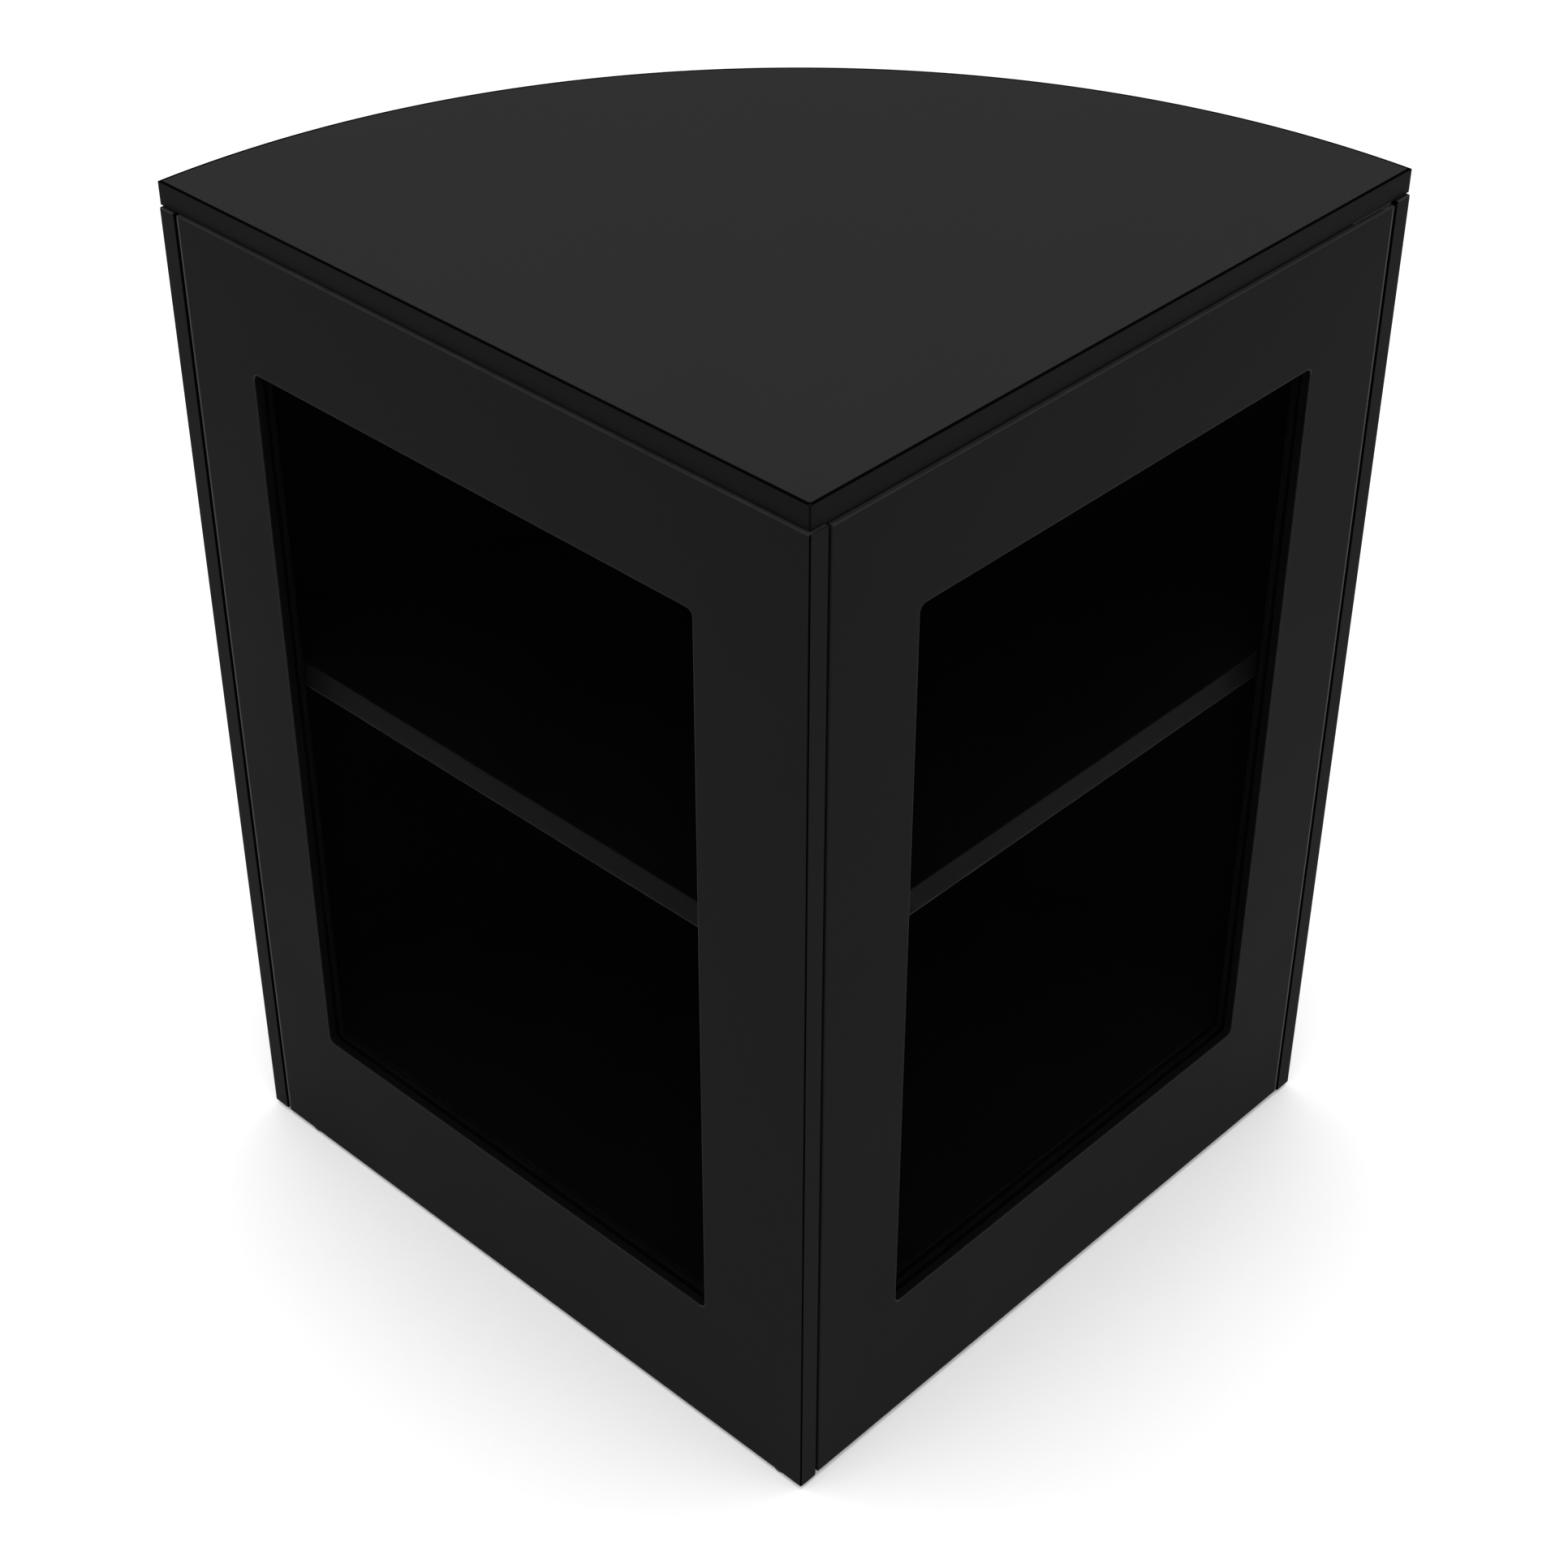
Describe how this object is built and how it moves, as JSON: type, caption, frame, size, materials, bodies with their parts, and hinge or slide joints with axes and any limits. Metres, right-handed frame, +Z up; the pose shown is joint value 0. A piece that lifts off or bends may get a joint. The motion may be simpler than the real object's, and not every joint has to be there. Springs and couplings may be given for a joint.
{
  "type": "quarter-round curio cabinet",
  "caption": "Black quarter-round display cabinet with two straight glazed sides, a curved wall, a mid shelf and a concealed-pivot door.",
  "frame": {"origin": "middle of the bounding box in plan, on the floor under the glides", "axes": "+Z up; the door side faces -Y, the fixed window side faces -X, and the curved wall is towards +X +Y"},
  "size_m": [0.683, 0.683, 0.95],
  "materials": {
    "black_board": "satin black lacquer on board",
    "edge_band": "satin",
    "black_trim": "satin black lacquer",
    "clear_glass": "clear, anti-reflective",
    "softwood": "stained black, planed",
    "black_steel": "black zinc plated",
    "bright_steel": "zinc plated",
    "magnet": "nickel plated",
    "nylon": "satin",
    "black_plastic": "fine-textured",
    "soft_rubber": "matte"
  },
  "bodies": {
    "carcass": {"top_panel": "black_board", "left_frame": "black_board", "curved_wall": "black_board", "deck": "black_board", "shelf": "black_board", "plinth_rail": "black_board", "top_stretcher": "black_board", "top_edge_band": "edge_band", "left_glazing_beads": "black_trim", "left_glass": "clear_glass", "deck_batten": "softwood", "top_batten": "softwood", "corner_battens": "softwood", "deck_blocks": "softwood", "top_blocks": "softwood", "top_dowels": "softwood", "bottom_pivot_plate": "black_steel", "top_pivot_plate": "black_steel", "bottom_pivot_pin": "black_steel", "top_pivot_pin": "black_steel", "batten_screws": "black_steel", "shelf_pins": "bright_steel", "pivot_plate_screws": "bright_steel", "latch_screws": "bright_steel", "glides": "nylon", "latch_housing": "black_plastic", "door_bumpers": "soft_rubber"},
    "door": {"door_frame": "black_board", "door_glass": "clear_glass", "door_glazing_beads": "black_trim", "bottom_pivot_bush": "nylon", "top_pivot_bush": "nylon", "strike_plate": "bright_steel", "strike_screws": "bright_steel"},
    "plunger": {"latch_plunger": "nylon", "latch_magnet": "magnet"}
  },
  "joints": [
    {"name": "door_hinge", "type": "hinge", "parent": "carcass", "child": "door", "pos_m": [0.311, -0.3355, 0.468], "axis": [0, 0, 1], "range_deg": [0, 105]},
    {"name": "plunger_press", "type": "slide", "parent": "carcass", "child": "plunger", "axis": [0, 1, 0], "range_m": [0, 0.002], "stiffness_N_per_m": 1200, "springref_m": -0.003}
  ]
}
